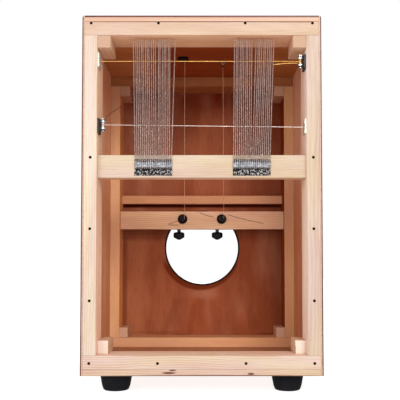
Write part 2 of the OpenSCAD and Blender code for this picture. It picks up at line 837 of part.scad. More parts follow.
worm_wheel(-1);  // worm_wheel_left
worm_wheel(1);  // worm_wheel_right
worm_shaft(-1);  // worm_shaft_left
worm_shaft(1);  // worm_shaft_right
tuner_button(-1);  // tuner_button_left
tuner_button(1);  // tuner_button_right
inner_string(-1, ceiling_left);  // inner_string_left
inner_string(1, ceiling_right);  // inner_string_right
inner_string_turns(-1);  // inner_string_turns_left
inner_string_turns(1);  // inner_string_turns_right
ceiling_plate();
ceiling_eye();
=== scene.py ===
"""Looks of a box drum with its front plate off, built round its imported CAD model.

Lengths are in metres, in the CAD frame: +Z up, the open front faces -Y, the ground is z = 0.
"""
import json
import math
import random

import bpy
import numpy as np
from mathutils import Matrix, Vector, noise


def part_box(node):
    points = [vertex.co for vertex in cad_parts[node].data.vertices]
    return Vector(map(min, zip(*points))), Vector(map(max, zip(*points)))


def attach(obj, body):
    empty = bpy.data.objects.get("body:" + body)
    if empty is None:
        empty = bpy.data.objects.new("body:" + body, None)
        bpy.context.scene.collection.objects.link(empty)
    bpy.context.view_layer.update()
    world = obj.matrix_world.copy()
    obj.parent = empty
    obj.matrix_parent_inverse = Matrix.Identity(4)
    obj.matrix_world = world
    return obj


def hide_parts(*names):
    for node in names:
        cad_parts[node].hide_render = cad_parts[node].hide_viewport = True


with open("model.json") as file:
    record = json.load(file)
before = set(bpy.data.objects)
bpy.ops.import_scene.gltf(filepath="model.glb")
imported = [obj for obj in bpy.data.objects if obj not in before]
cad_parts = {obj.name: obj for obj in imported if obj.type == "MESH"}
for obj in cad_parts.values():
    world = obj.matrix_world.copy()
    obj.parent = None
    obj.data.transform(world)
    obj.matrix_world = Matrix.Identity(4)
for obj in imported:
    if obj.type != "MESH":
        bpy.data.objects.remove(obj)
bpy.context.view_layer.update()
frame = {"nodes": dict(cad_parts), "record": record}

MM = 0.001


# ---- Shader building ----

class Look:
    """A material being built. Its methods add shader nodes, and most return an output socket."""

    def __init__(self, name, **constants):
        self.material = bpy.data.materials.new(name)
        self.material.use_nodes = True
        self.tree = self.material.node_tree
        self.shader = self.tree.nodes["Principled BSDF"]
        for key, value in constants.items():
            self.shader.inputs[key.replace("_", " ")].default_value = value
        self.place = self.add("ShaderNodeTexCoord").outputs["Object"]
        self.x, self.y, self.z = self.split(self.place)

    def add(self, kind, inputs=(), **settings):
        """A node of that kind. inputs holds (socket name or number, value or socket) pairs."""
        node = self.tree.nodes.new(kind)
        for key, value in settings.items():
            setattr(node, key, value)
        for key, value in inputs:
            if isinstance(value, bpy.types.NodeSocket):
                self.tree.links.new(value, node.inputs[key])
            else:
                node.inputs[key].default_value = value
        return node

    def split(self, vector):
        return self.add("ShaderNodeSeparateXYZ", [(0, vector)]).outputs

    def join(self, x, y, z):
        return self.add("ShaderNodeCombineXYZ", [(0, x), (1, y), (2, z)]).outputs[0]

    def math(self, operation, a, b=0.0, c=0.0):
        inputs = [(0, a), (1, b), (2, c)]
        return self.add("ShaderNodeMath", inputs, operation=operation).outputs[0]

    def scaled(self, value, factor, offset=0.0):
        return self.math("MULTIPLY_ADD", value, factor, offset)

    def length(self, vector):
        node = self.add("ShaderNodeVectorMath", [(0, vector)], operation="LENGTH")
        return node.outputs["Value"]

    def step(self, value, low, high, start=0.0, end=1.0):
        """Smooth change from start to end as value goes from low to high."""
        inputs = [("Value", value), ("From Min", low), ("From Max", high),
                  ("To Min", start), ("To Max", end)]
        return self.add("ShaderNodeMapRange", inputs, interpolation_type="SMOOTHSTEP").outputs[0]

    def noise(self, stretch, seed=0.0, detail=3.0, vector=None):
        """Noise between 0 and 1 with stretch features per metre along each axis."""
        moved = self.add("ShaderNodeMapping", [("Vector", vector or self.place),
                                               ("Location", (seed, 1.7 * seed, 2.3 * seed)),
                                               ("Scale", stretch)]).outputs[0]
        return self.add("ShaderNodeTexNoise", [("Vector", moved), ("Scale", 1.0),
                                               ("Detail", detail)]).outputs["Fac"]

    def mix(self, share, a, b, blend="MIX"):
        inputs = [(0, share), (6, colour(a)), (7, colour(b))]
        return self.add("ShaderNodeMix", inputs, data_type="RGBA", blend_type=blend).outputs[2]

    def spot(self, across, up, centre, half, seed, ragged=0.5):
        """Mask of an uneven oval spot on a face, 1 in its middle."""
        far = self.length(self.join(self.scaled(across, 1 / half[0], -centre[0] / half[0]),
                                    self.scaled(up, 1 / half[1], -centre[1] / half[1]), 0.0))
        uneven = self.noise((900, 900, 1800), seed)
        return self.step(self.math("ADD", far, self.scaled(uneven, ragged)), 1.25, 0.7)

    def streak(self, start, end, half):
        """Mask of a thin wavering line on an XZ face, from start to end."""
        run = (end[0] - start[0], end[1] - start[1])
        share = 1 / (run[0] ** 2 + run[1] ** 2)
        wave = self.scaled(self.noise((90, 90, 90), 6.0, 2.0), 2 * MM, -1 * MM - start[1])
        across = self.scaled(self.x, 1.0, -start[0])
        up = self.math("ADD", self.z, wave)
        along = self.math("ADD", self.scaled(across, run[0] * share),
                          self.scaled(up, run[1] * share))
        along = self.math("MINIMUM", self.math("MAXIMUM", along, 0.0), 1.0)
        off = self.join(self.math("SUBTRACT", across, self.scaled(along, run[0])), 0.0,
                        self.math("SUBTRACT", up, self.scaled(along, run[1])))
        return self.step(self.length(off), half, 0.2 * half)

    def finish(self, base, roughness, height=None, depth=0.0001, strength=0.6, specular=None):
        """Links colour, roughness, bump and shine to the shader, and returns the material."""
        self.tree.links.new(base, self.shader.inputs["Base Color"])
        self.tree.links.new(roughness, self.shader.inputs["Roughness"])
        if specular is not None:
            self.tree.links.new(specular, self.shader.inputs["Specular IOR Level"])
        if height is not None:
            bump = self.add("ShaderNodeBump", [("Height", height), ("Distance", depth),
                                               ("Strength", strength)])
            self.tree.links.new(bump.outputs[0], self.shader.inputs["Normal"])
        return self.material


def colour(value):
    """A colour socket as it is, or three numbers as a colour."""
    return value if isinstance(value, bpy.types.NodeSocket) else (*value, 1.0)


def tinted(tone, factors):
    return tuple(t * f for t, f in zip(tone, factors))


# ---- Woods ----

RING = 2.6 * MM
LATE_WOOD = (0.88, 0.72, 0.57)
END_GRAIN = (0.90, 0.80, 0.70)
DENT = (0.085, 0.032, 0.016)
HOLE_SHADE = (0.035, 0.018, 0.012)
RESIN = (0.10, 0.035, 0.018)


def pilot_places():
    """X and Z of the empty screw holes in the front frame, from the record's mounts."""
    for mount in frame["record"]["mounts"]:
        if mount["kind"] == "bolt_pattern":
            x, _, z = mount["pos_m"]
            half_x = mount["dims"]["spacing_x_mm"] * MM / 2
            half_z = mount["dims"].get("spacing_y_mm", 0.0) * MM / 2
            for up in {-half_z, half_z}:
                yield x - half_x, z + up
                yield x + half_x, z + up


def pine(name, axis, face, flank_painted_light, low, seed, rings=0.4, dents=(), holes=(), ends=None,
         resin=()):
    """Planed softwood with its grain along axis.

    face colours the front plane and the second colour the other faces, and low is the board's lowest
    corner. The two colours are lit and shaded copies of one pine, with light and shade painted in.
    The growth rings run round a pith line beside the board, so the ends show arcs, and rings is
    how clear they are. ends is the colour of sawn ends that lie behind the front plane. resin
    holds dark lines, each from one X and Z to another."""
    face_y = low.y
    pith = (low.y + 20 * MM, low.z - 40 * MM) if axis == 0 else (0.030, 0.021)
    look = Look(name, Specular_IOR_Level=0.18)
    spots = [look.x, look.y, look.z]
    along = spots.pop(axis)
    grain = look.join(along, *spots)
    drift = look.noise((3.5, 14, 14), seed, 2.0, grain)
    offset = [look.scaled(s, 1.0, -p) for s, p in zip(spots, pith)]
    radius = look.length(look.join(0.0, *offset))
    phase = look.math("ADD", look.scaled(radius, 1 / RING), look.scaled(drift, 9.0))
    saw = look.math("FRACT", phase)
    late = look.math("MULTIPLY", look.step(saw, 0.2, 0.86), look.step(saw, 1.0, 0.9))
    fibre = look.noise((45, 1500, 1500), seed, 4.0, grain)
    patch = look.noise((7, 45, 45), seed + 3.1, 2.0, grain)
    # Painted light and shade: the front plane and the other faces take lit and shaded colours of the
    # same pine
    tone = look.mix(look.step(look.y, face_y + 0.2 * MM, face_y + 1.0 * MM), face, flank_painted_light)
    worn = look.mix(look.step(patch, 0.3, 0.7), (1.03, 1.03, 1.02), (0.96, 0.91, 0.87))
    tone = look.mix(1.0, tone, worn, "MULTIPLY")
    hue = look.noise((9, 60, 60), seed + 7.7, 2.0, grain)
    blush = look.mix(look.step(hue, 0.36, 0.64), (1.02, 1.02, 0.92), (1.0, 0.95, 0.99))
    tone = look.mix(1.0, tone, blush, "MULTIPLY")
    veins = look.math("MULTIPLY", late, look.step(patch, 0.25, 0.65, 0.35 * rings, rings))
    tone = look.mix(veins, tone, look.mix(1.0, tone, LATE_WOOD, "MULTIPLY"))
    streaks = look.mix(look.step(fibre, 0.35, 0.7), (1.02, 1.01, 1.0), (0.93, 0.89, 0.84))
    tone = look.mix(1.0, tone, streaks, "MULTIPLY")
    normal = look.split(look.add("ShaderNodeNewGeometry").outputs["Normal"])[axis]
    end = look.step(look.math("ABSOLUTE", normal), 0.8, 0.95)
    pores = look.noise((2600, 2600, 2600), seed, 2.0)
    cut = look.mix(look.step(pores, 0.4, 0.65), (1.0, 1.0, 1.0), END_GRAIN)
    # Sawn ends behind the front plane take their own colour or the other faces' colour, lit copies
    # of the pine with light painted in
    sawn = look.mix(look.step(look.y, face_y + 0.2 * MM, face_y + 1.0 * MM), face, ends or flank_painted_light)
    tone = look.mix(end, tone, look.mix(1.0, sawn, cut, "MULTIPLY"))
    for number, (centre, half) in enumerate(dents):
        mark = look.spot(look.x, look.z, centre, half, seed + number)
        mark = look.math("MULTIPLY", mark, look.step(look.y, face_y + 2 * MM, face_y + 0.5 * MM))
        tone = look.mix(mark, tone, DENT)
    # Painted shade in and round the empty screw holes
    for x, z in holes:
        reach = look.length(look.join(look.scaled(look.x, 1.0, -x), 0.0,
                                      look.scaled(look.z, 1.0, -z)))
        tone = look.mix(look.step(reach, 2.2 * MM, 1.5 * MM), tone, HOLE_SHADE)
    for start, end in resin:
        line = look.scaled(look.streak(start, end, 0.95 * MM), 0.75)
        tone = look.mix(line, tone, RESIN)
    rough = look.step(fibre, 0.2, 0.8, 0.48, 0.68)
    height = look.math("ADD", look.scaled(late, -0.5), look.scaled(fibre, 0.8))
    return look.finish(tone, rough, height, 0.00012, 0.5)


RAW_PLY = (0.285, 0.073, 0.028)
STAIN = (0.105, 0.030, 0.018)
STAIN_DARK = (0.045, 0.014, 0.010)
STAIN_SCUFF = (0.30, 0.13, 0.08)
PLY_CORE = (0.415, 0.275, 0.20)
PLY_CORE_DARK = (0.345, 0.20, 0.135)


def ply(look, seed, tone, up=2):
    """Colour and grain height of raw red plywood with its figure along axis up."""
    spots = [look.x, look.y, look.z]
    along = spots.pop(up)
    grain = look.join(along, *spots)
    figure = look.noise((2.6, 34, 34), seed, 3.0, grain)
    pore = look.noise((55, 1300, 1300), seed, 4.0, grain)
    blotch = look.noise((12, 20, 20), seed + 5.0, 3.0, grain)
    base = look.mix(look.step(figure, 0.32, 0.68), tinted(tone, (0.86, 0.80, 0.76)),
                    tinted(tone, (1.10, 1.12, 1.14)))
    base = look.mix(look.step(blotch, 0.35, 0.75, 0.0, 0.5), base,
                    tinted(tone, (0.84, 0.72, 0.66)))
    fleck = look.mix(look.step(pore, 0.5, 0.72), (1.03, 1.03, 1.03), (0.72, 0.62, 0.55))
    return look.mix(1.0, base, fleck, "MULTIPLY"), pore


def stain(look, seed, up=2):
    """Colour and grain height of the dark red-brown stained and lacquered outside."""
    spots = [look.x, look.y, look.z]
    along = spots.pop(up)
    grain = look.join(along, *spots)
    figure = look.noise((3, 60, 60), seed, 4.0, grain)
    pore = look.noise((70, 1800, 1800), seed + 2.0, 3.0, grain)
    base = look.mix(look.step(figure, 0.3, 0.7), STAIN_DARK, STAIN)
    fleck = look.mix(look.step(pore, 0.45, 0.7), (1.15, 1.12, 1.1), (0.55, 0.5, 0.5))
    base = look.mix(1.0, base, fleck, "MULTIPLY")
    scuff = look.noise((35, 500, 500), seed + 9.0, 5.0, grain)
    return look.mix(look.step(scuff, 0.68, 0.8, 0.0, 0.35), base, STAIN_SCUFF), pore


def panel(name, seed, inside, tone, core, up=2, upper_painted_light=None, sides=None):
    """A panel that is raw where the mask inside(look) is 1, and stained elsewhere.

    core(look) is a mask for bare pine-coloured edges. The upper tint lightens the raw upper half as
    painted light, and sides lightens the raw strips to the left and right of the middle as painted
    light."""
    look = Look(name)
    raw, raw_pore = ply(look, seed, tone, up)
    # Painted light: the raw upper half is lightened
    if upper_painted_light:
        upper_light_tint = look.mix(look.step(look.z, 0.20, 0.36), (1.0, 1.0, 1.0), upper_painted_light)
        raw = look.mix(1.0, raw, upper_light_tint, "MULTIPLY")
    # Painted light: the raw strips to the left and right of the middle are lightened
    if sides:
        far = look.step(look.math("ABSOLUTE", look.x), 45 * MM, 95 * MM)
        raw = look.mix(1.0, raw, look.mix(far, (1.0, 1.0, 1.0), sides), "MULTIPLY")
    outer, outer_pore = stain(look, seed + 20.0, up)
    mask = inside(look)
    base = look.mix(mask, outer, raw)
    layers = look.noise((4, 30, 1400), seed, 2.0)
    edge = look.mix(look.step(layers, 0.35, 0.65), PLY_CORE, PLY_CORE_DARK)
    base = look.mix(core(look), base, edge)
    pore = look.math("ADD", look.math("MULTIPLY", raw_pore, mask),
                     look.scaled(outer_pore, 0.4))
    rough = look.math("ADD", look.step(mask, 0.0, 1.0, 0.30, 0.56), look.scaled(raw_pore, 0.1))
    return look.finish(base, rough, pore, 0.0001, 0.35, look.step(mask, 0.0, 1.0, 0.2, 0.1))


def side_look(name, node, seed, tone, upper_painted_light):
    """A side panel: raw inside, stained outside, and bare at its front edge but for the rim; its raw
    upper half is lightened as painted light.
    """
    low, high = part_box(node)
    inner = min(abs(low.x), abs(high.x))
    outer = max(abs(low.x), abs(high.x))

    def inside(look):
        return look.step(look.math("ABSOLUTE", look.x), inner + 0.4 * MM, inner + 0.1 * MM)

    def front_edge(look):
        uneven = look.scaled(look.noise((500, 500, 90), seed), 0.8 * MM)
        across = look.math("ADD", look.math("ABSOLUTE", look.x), uneven)
        return look.math("MULTIPLY", look.step(look.y, low.y + 0.7 * MM, low.y + 0.3 * MM),
                         look.step(across, outer - 1.0 * MM, outer - 1.3 * MM))

    return panel(name, seed, inside, tone, front_edge, upper_painted_light=upper_painted_light)


HOLE_R = 60 * MM
HOLE_Z = 190 * MM
RAIL_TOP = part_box("rear_rail_bottom")[1].z
STIFFENER_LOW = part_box("back_stiffener")[0].z
HAZE = (0.36, 0.145, 0.085)
RIM_CRESCENT_SHADOW = (0.12, 0.016, 0.001)
FIGURE = (0.14, 0.026, 0.008)
SMEAR = (0.16, 0.034, 0.010)
LEFT_EDGE_SHADE = (0.13, 0.026, 0.006)
RIGHT_EDGE_SHADE = (0.12, 0.026, 0.007)
CORNER_SHADOW = (0.07, 0.005, 0.001)
# Start and end of each dark line of the back panel's figure, as X and Z, and its half width
FIGURE_LINES = [((-43 * MM, 100 * MM), (-64 * MM, 48 * MM), 10 * MM),
                ((-14 * MM, 92 * MM), (-22 * MM, 46 * MM), 9 * MM),
                ((18 * MM, 98 * MM), (26 * MM, 46 * MM), 10 * MM),
                ((66 * MM, 120 * MM), (86 * MM, 60 * MM), 11 * MM)]


def hole_marks(look, raw):
    """Marks of the bare back panel: a pale haze below the sound hole, a painted shadow crescent at
    its rim, the figure lines, painted shade along the left and right edges and in the corner under
    the stiffener, and smears above the rail."""
    centre = (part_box("back_panel")[0].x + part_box("back_panel")[1].x) / 2
    haze = look.spot(look.x, look.z, (centre + 2 * MM, HOLE_Z - 76 * MM), (50 * MM, 17 * MM),
                     4.0, 1.1)
    raw = look.mix(look.scaled(haze, 0.6), raw, HAZE)
    for start, end, half in FIGURE_LINES:
        raw = look.mix(look.scaled(look.streak(start, end, half), 0.26), raw, FIGURE)
    # Painted shade along the left edge beside the stile, and on the right towards the right stile
    left = look.math("MULTIPLY", look.step(look.x, -122 * MM, -128 * MM),
                     look.step(look.z, 215 * MM, 195 * MM))
    raw = look.mix(look.scaled(left, 0.6), raw, LEFT_EDGE_SHADE)
    right = look.math("MULTIPLY", look.step(look.x, 96 * MM, 132 * MM, 0.0, 0.6),
                      look.step(look.z, 240 * MM, 215 * MM))
    raw = look.mix(right, raw, RIGHT_EDGE_SHADE)
    shadow = look.math("MULTIPLY",
                       look.step(look.z, STIFFENER_LOW - 6.5 * MM, STIFFENER_LOW - 3 * MM),
                       look.step(look.z, STIFFENER_LOW + 6 * MM, STIFFENER_LOW + 2 * MM))
    raw = look.mix(shadow, raw, CORNER_SHADOW)
    # Painted shadow: a dark band just below the lower rim of the sound hole
    shade = look.length(look.join(look.scaled(look.x, 1.0, 2.8 * MM), 0.0,
                                  look.scaled(look.z, 1.0, 3.8 * MM - HOLE_Z)))
    low = look.step(look.z, HOLE_Z - 12 * MM, HOLE_Z - 34 * MM)
    crescent = look.math("MULTIPLY", look.step(shade, 68.5 * MM, 64.0 * MM), low)
    raw = look.mix(look.scaled(crescent, 0.9), raw, RIM_CRESCENT_SHADOW)
    smear = look.noise((12, 12, 160), 8.0)
    near = look.step(look.z, RAIL_TOP + 9 * MM, RAIL_TOP + 1 * MM)
    smear = look.math("MULTIPLY", look.step(smear, 0.45, 0.62, 0.0, 0.8), near)
    return look.mix(smear, raw, SMEAR)


HOLE_RIM = (0.010, 0.005, 0.004)
GLOW = (0.36, 0.14, 0.08)
SMOKE = (0.19, 0.036, 0.011)
# Painted light and shade on the back panel's raw face: its upper half lightened, painted shade just
# under the ceiling, its left side lightened, and painted shade on the right, low and high
UPPER_PAINTED_LIGHT = (1.2, 1.47, 1.8)
CEILING_PAINTED_SHADE = (0.58, 0.20, 0.04)
LEFT_PAINTED_LIGHT = (1.24, 1.65, 2.0)
LOW_RIGHT_PAINTED_SHADE = (0.93, 0.94, 0.95)
HIGH_RIGHT_PAINTED_SHADE = (0.67, 0.58, 0.56)
NO_TINT = (1.0, 1.0, 1.0)


def back_look(seed):
    """The back panel: raw inside, stained outside, with a dark sealed hole rim; its raw face carries
    painted light and shade by height and side.
    """
    inner_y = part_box("back_panel")[0].y
    look = Look("back_panel_wood")
    raw, pore = ply(look, seed, RAW_PLY)
    # Painted light and shade by height and by side on the raw face
    upper = look.mix(look.step(look.z, 0.40, 0.45), UPPER_PAINTED_LIGHT, CEILING_PAINTED_SHADE)
    high = look.step(look.z, 0.18, 0.32)
    height = look.mix(high, NO_TINT, upper)
    right = look.mix(high, LOW_RIGHT_PAINTED_SHADE, HIGH_RIGHT_PAINTED_SHADE)
    across = look.mix(look.step(look.x, 0.0, 0.12), NO_TINT, right)
    across = look.mix(look.step(look.x, -0.01, -0.10), across, LEFT_PAINTED_LIGHT)
    raw = look.mix(1.0, raw, look.mix(1.0, height, across, "MULTIPLY"), "MULTIPLY")
    glow = look.noise((13, 13, 5), 23.0, 4.0)
    raw = look.mix(look.step(glow, 0.46, 0.66, 0.0, 0.75), raw, GLOW)
    smoke = look.noise((17, 17, 5), 27.0, 4.0)
    raw = look.mix(look.step(smoke, 0.46, 0.66, 0.0, 0.6), raw, SMOKE)
    raw = hole_marks(look, raw)
    outer, outer_pore = stain(look, seed + 20.0)
    mask = look.step(look.y, inner_y + 0.6 * MM, inner_y + 0.3 * MM)
    base = look.mix(mask, outer, raw)
    reach = look.length(look.join(look.x, 0.0, look.scaled(look.z, 1.0, -HOLE_Z)))
    uneven = look.scaled(look.noise((400, 400, 400), 2.0), 0.7 * MM)
    rim = look.step(look.math("ADD", reach, uneven), HOLE_R + 3.3 * MM, HOLE_R + 2.4 * MM)
    base = look.mix(rim, base, HOLE_RIM)
    rough = look.math("ADD", look.step(mask, 0.0, 1.0, 0.30, 0.56), look.scaled(pore, 0.1))
    height = look.math("ADD", look.math("MULTIPLY", pore, mask), look.scaled(outer_pore, 0.4))
    shine = look.math("MULTIPLY", look.step(mask, 0.0, 1.0, 0.4, 0.05), look.scaled(rim, -1.0, 1.0))
    return look.finish(base, rough, height, 0.0001, 0.35, shine)


# ---- Metals, plastic and rubber ----

SNARE_PITCH = 2.4 * MM
SNARE_MARGIN = 0.9 * MM
GRAIN_DEPTH = 0.03 * MM
SKIN_DEPTH = 0.06 * MM


def metal(name, light, dark, rough, seed, scale=(300, 300, 300), metallic=1.0):
    """Metal or plating with cloudy tarnish and a fine grain."""
    look = Look(name, Metallic=metallic)
    cloud = look.noise(scale, seed, 4.0)
    grain = look.noise(tuple(6 * s for s in scale), seed + 1.0, 3.0)
    base = look.mix(look.step(cloud, 0.35, 0.7), light, dark)
    gloss = look.math("ADD", look.step(cloud, 0.3, 0.7, rough[0], rough[1]),
                      look.scaled(grain, 0.08))
    return look.finish(base, gloss, grain, GRAIN_DEPTH, 0.4)


def plain_string_look():
    """Bright steel string whose loose tail, behind the spool, is dark brown."""
    look = Look("plain_string_steel", Metallic=0.8)
    cloud = look.noise((300, 300, 300), 17.0, 4.0)
    tail = look.step(look.y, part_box("spool_lower")[1].y - 1.5 * MM,
                     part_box("spool_lower")[1].y - 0.5 * MM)
    bright = look.mix(look.step(cloud, 0.35, 0.7), (0.74, 0.64, 0.60), (0.50, 0.42, 0.39))
    base = look.mix(tail, bright, (0.075, 0.024, 0.010))
    return look.finish(base, look.step(cloud, 0.3, 0.7, 0.25, 0.4), cloud, GRAIN_DEPTH, 0.3)


def moulded(name, base, rough, seed, shine, grain=900, coat=0.0):
    """Black plastic, rubber or enamel with a fine skin and some dust."""
    look = Look(name, Specular_IOR_Level=shine, Coat_Weight=coat, Coat_Roughness=0.25)
    skin = look.noise((grain, grain, grain), seed, 4.0)
    dust = look.noise((60, 60, 60), seed + 2.0, 4.0)
    tone = look.mix(look.step(dust, 0.45, 0.8, 0.0, 0.5), base, tinted(base, (2.6, 2.5, 2.4)))
    gloss = look.math("ADD", look.step(dust, 0.3, 0.7, rough[0], rough[1]),
                      look.scaled(skin, 0.08))
    return look.finish(tone, gloss, skin, SKIN_DEPTH, 0.5)


def solder_look():
    """Tinned plate: blue-grey with bright smears, with painted shade between the wires and in bands
    along its top and bottom edges.
    """
    look = Look("solder", Metallic=0.6)
    low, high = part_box("snare_plates")
    smear = look.noise((160, 160, 420), 3.0, 4.0)
    flux = look.noise((420, 420, 160), 7.0, 3.0)
    up = look.math("ADD", look.z, look.scaled(flux, 3.2 * MM))
    base = look.mix(look.step(smear, 0.38, 0.66), (0.13, 0.145, 0.17), (0.30, 0.315, 0.34))
    beside = look.math("ABSOLUTE", look.scaled(look.x, 1.0, -(low.x + high.x) / 2))
    phase = look.math("FRACT", look.scaled(beside, -1 / SNARE_PITCH,
                                           ((high.x - low.x) / 2 - SNARE_MARGIN) / SNARE_PITCH))
    # Painted shade between the wires, stronger towards the top
    wire_gap_shade = look.step(look.math("ABSOLUTE", look.scaled(phase, 1.0, -0.5)), 0.34, 0.16)
    wire_gap_shade = look.math("MULTIPLY", wire_gap_shade, look.step(up, low.z + 5 * MM, high.z - 1 * MM, 0.35, 1.0))
    base = look.mix(wire_gap_shade, base, (0.012, 0.012, 0.016))
    # Painted shade in bands along the top edge, where the wires leave the solder, and the bottom
    # edge, where the plate meets the tape
    top = look.step(up, high.z - 0.4 * MM, high.z + 1.0 * MM)
    bottom = look.step(up, low.z + 4.4 * MM, low.z + 3.2 * MM)
    base = look.mix(look.math("MAXIMUM", top, bottom), base, (0.012, 0.011, 0.013))
    rough = look.step(smear, 0.3, 0.7, 0.55, 0.38)
    return look.finish(base, rough, smear, 0.0002, 0.6)


def tape_look():
    """Creased dark tape with pale flecks painted in as highlights on its creases."""
    look = Look("dark_tape", Specular_IOR_Level=0.06)
    crease = look.noise((260, 260, 420), 5.0, 4.0)
    fleck = look.noise((460, 460, 430), 9.0, 2.0)
    base = look.mix(look.step(crease, 0.35, 0.7), (0.003, 0.003, 0.003), (0.010, 0.009, 0.009))
    # Painted highlights: pale flecks standing for light caught on the creases
    base = look.mix(look.step(fleck, 0.50, 0.60, 0.0, 0.9), base, (0.27, 0.26, 0.26))
    rough = look.step(crease, 0.3, 0.7, 0.35, 0.55)
    return look.finish(base, rough, crease, 0.0004, 0.8)


# ---- Mesh building ----

def unit(vectors):
    return vectors / np.linalg.norm(vectors, axis=-1, keepdims=True)


class Shape:
    """Vertices and faces of a piece, gathered part by part."""

    def __init__(self):
        self.vertices = []
        self.faces = []
        self.count = 0

    def add(self, vertices, faces):
        vertices = np.asarray(vertices, float).reshape(-1, 3)
        self.faces += [[i + self.count for i in face] for face in faces]
        self.vertices.append(vertices)
        self.count += len(vertices)
        return self

    def tube(self, path, radius, sides, reference):
        """A round tube along path.

        reference is a direction beside the path, or one for each point."""
        path = np.asarray(path, float)
        tangent = unit(np.gradient(path, axis=0))
        beside = np.broadcast_to(np.asarray(reference, float), path.shape)
        beside = unit(beside - (beside * tangent).sum(1)[:, None] * tangent)
        other = np.cross(tangent, beside)
        angle = 2 * math.pi * np.arange(sides) / sides
        ring = (beside[:, None] * np.cos(angle)[None, :, None]
                + other[:, None] * np.sin(angle)[None, :, None])
        radius = np.broadcast_to(np.asarray(radius, float), (len(path),))
        points = path[:, None] + ring * radius[:, None, None]
        return self.add(points, strip_faces(len(path), sides, capped=True))

    def lathe(self, profile, centre, segments):
        """A solid of revolution round Z. profile is a closed outline of (radius, height) points."""
        angle = 2 * math.pi * np.arange(segments) / segments
        outline = np.asarray(profile, float)
        points = np.stack([outline[:, :1] * np.cos(angle), outline[:, :1] * np.sin(angle),
                           np.broadcast_to(outline[:, 1:], (len(outline), segments))], axis=-1)
        faces = strip_faces(len(outline), segments, capped=False)
        last = (len(outline) - 1) * segments
        faces += [[last + j, last + (j + 1) % segments, (j + 1) % segments, j]
                  for j in range(segments)]
        return self.add(points + np.asarray(centre), faces)

    def build(self, name, material, slot, body="box", replaced=()):
        mesh = bpy.data.meshes.new(name)
        mesh.from_pydata(np.concatenate(self.vertices).tolist(), [], self.faces)
        mesh.validate()
        mesh.shade_smooth()
        mesh.set_sharp_from_angle(angle=math.radians(40))
        mesh.materials.append(material)
        piece = bpy.data.objects.new(name, mesh)
        bpy.context.scene.collection.objects.link(piece)
        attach(piece, body)
        if replaced:
            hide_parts(*replaced)


def strip_faces(rows, sides, capped):
    """Quads between rows of a closed ring of points, with flat ends if capped."""
    faces = [[k * sides + j, k * sides + (j + 1) % sides,
              (k + 1) * sides + (j + 1) % sides, (k + 1) * sides + j]
             for k in range(rows - 1) for j in range(sides)]
    if capped:
        faces.append(list(range(sides - 1, -1, -1)))
        faces.append([(rows - 1) * sides + j for j in range(sides)])
    return faces


def half_box(node, side):
    """Box of the vertices of a CAD node on one side of the middle."""
    points = np.array([v.co for v in frame["nodes"][node].data.vertices])
    points = points[points[:, 0] * side > 0]
    return Vector(points.min(0)), Vector(points.max(0))


def bezier(points, count):
    t = np.linspace(0, 1, count)[:, None]
    a, b, c, d = (np.array(p, float) for p in points)
    return a * (1 - t) ** 3 + 3 * b * t * (1 - t) ** 2 + 3 * c * t * t * (1 - t) + d * t ** 3


def smooth(value, low, high):
    t = np.clip((value - low) / (high - low), 0, 1)
    return t * t * (3 - 2 * t)


def bumps(x, z, scale, seed):
    """Smooth noise from -1 to 1 at each point of two arrays."""
    spots = zip(np.ravel(x), np.ravel(z))
    values = [noise.noise(Vector((a * scale, seed, b * scale))) for a, b in spots]
    return np.array(values).reshape(np.shape(x))


# ---- Camera, light and floor ----

def place_camera():
    data = bpy.data.cameras.new("camera")
    data.sensor_width = 36
    data.lens = 61.8
    data.shift_x = -0.0075
    data.shift_y = 0.101
    data.clip_start = 0.01
    camera = bpy.data.objects.new("camera", data)
    camera.location = (0.0015, -1.0, 0.1535)
    camera.rotation_euler = (math.radians(92.46), 0, 0)
    bpy.context.scene.collection.objects.link(camera)
    bpy.context.scene.camera = camera


def area_light(name, place, target, size, power, tone):
    data = bpy.data.lights.new(name, "AREA")
    data.shape = "DISK"
    data.size = size
    data.energy = power
    data.color = tone
    light = bpy.data.objects.new(name, data)
    light.location = place
    aim = Vector(target) - Vector(place)
    light.rotation_euler = aim.to_track_quat("-Z", "Y").to_euler()
    bpy.context.scene.collection.objects.link(light)


def light_scene():
    world = bpy.data.worlds.new("studio")
    world.use_nodes = True
    sky = world.node_tree.nodes["Background"]
    sky.inputs["Color"].default_value = (1.0, 1.0, 1.0, 1.0)
    sky.inputs["Strength"].default_value = 1.0
    bpy.context.scene.world = world
    bpy.context.scene.view_settings.view_transform = "Standard"
    area_light("key", (0.53, -2.4, 1.05), (0, 0, 0.24), 1.0, 48, (1.0, 0.97, 0.93))
    area_light("fill", (-1.3, -2.2, 0.6), (0, 0, 0.24), 1.4, 26, (1.0, 0.98, 0.95))


def lay_floor():
    look = Look("floor", Specular_IOR_Level=0.1, Emission_Strength=0.85)
    look.shader.inputs["Emission Color"].default_value = (1.0, 1.0, 1.0, 1.0)
    grain = look.noise((9, 9, 9), 1.0)
    base = look.mix(grain, (0.27, 0.27, 0.27), (0.29, 0.29, 0.29))
    material = look.finish(base, look.step(grain, 0.0, 1.0, 0.7, 0.8))
    mesh = bpy.data.meshes.new("floor")
    reach = 12.0
    corners = [(-reach, -reach, 0), (reach, -reach, 0), (reach, reach, 0), (-reach, reach, 0)]
    mesh.from_pydata(corners, [], [(0, 1, 2, 3)])
    mesh.materials.append(material)
    floor = bpy.data.objects.new("floor", mesh)
    bpy.context.scene.collection.objects.link(floor)


# ---- Dressing of the CAD nodes ----

def dress(material, *nodes):
    """Gives CAD nodes their finish."""
    for node in nodes:
        obj = frame["nodes"][node]
        if not obj.material_slots:
            obj.data.materials.append(material)
        for slot in obj.material_slots:
            slot.material = material


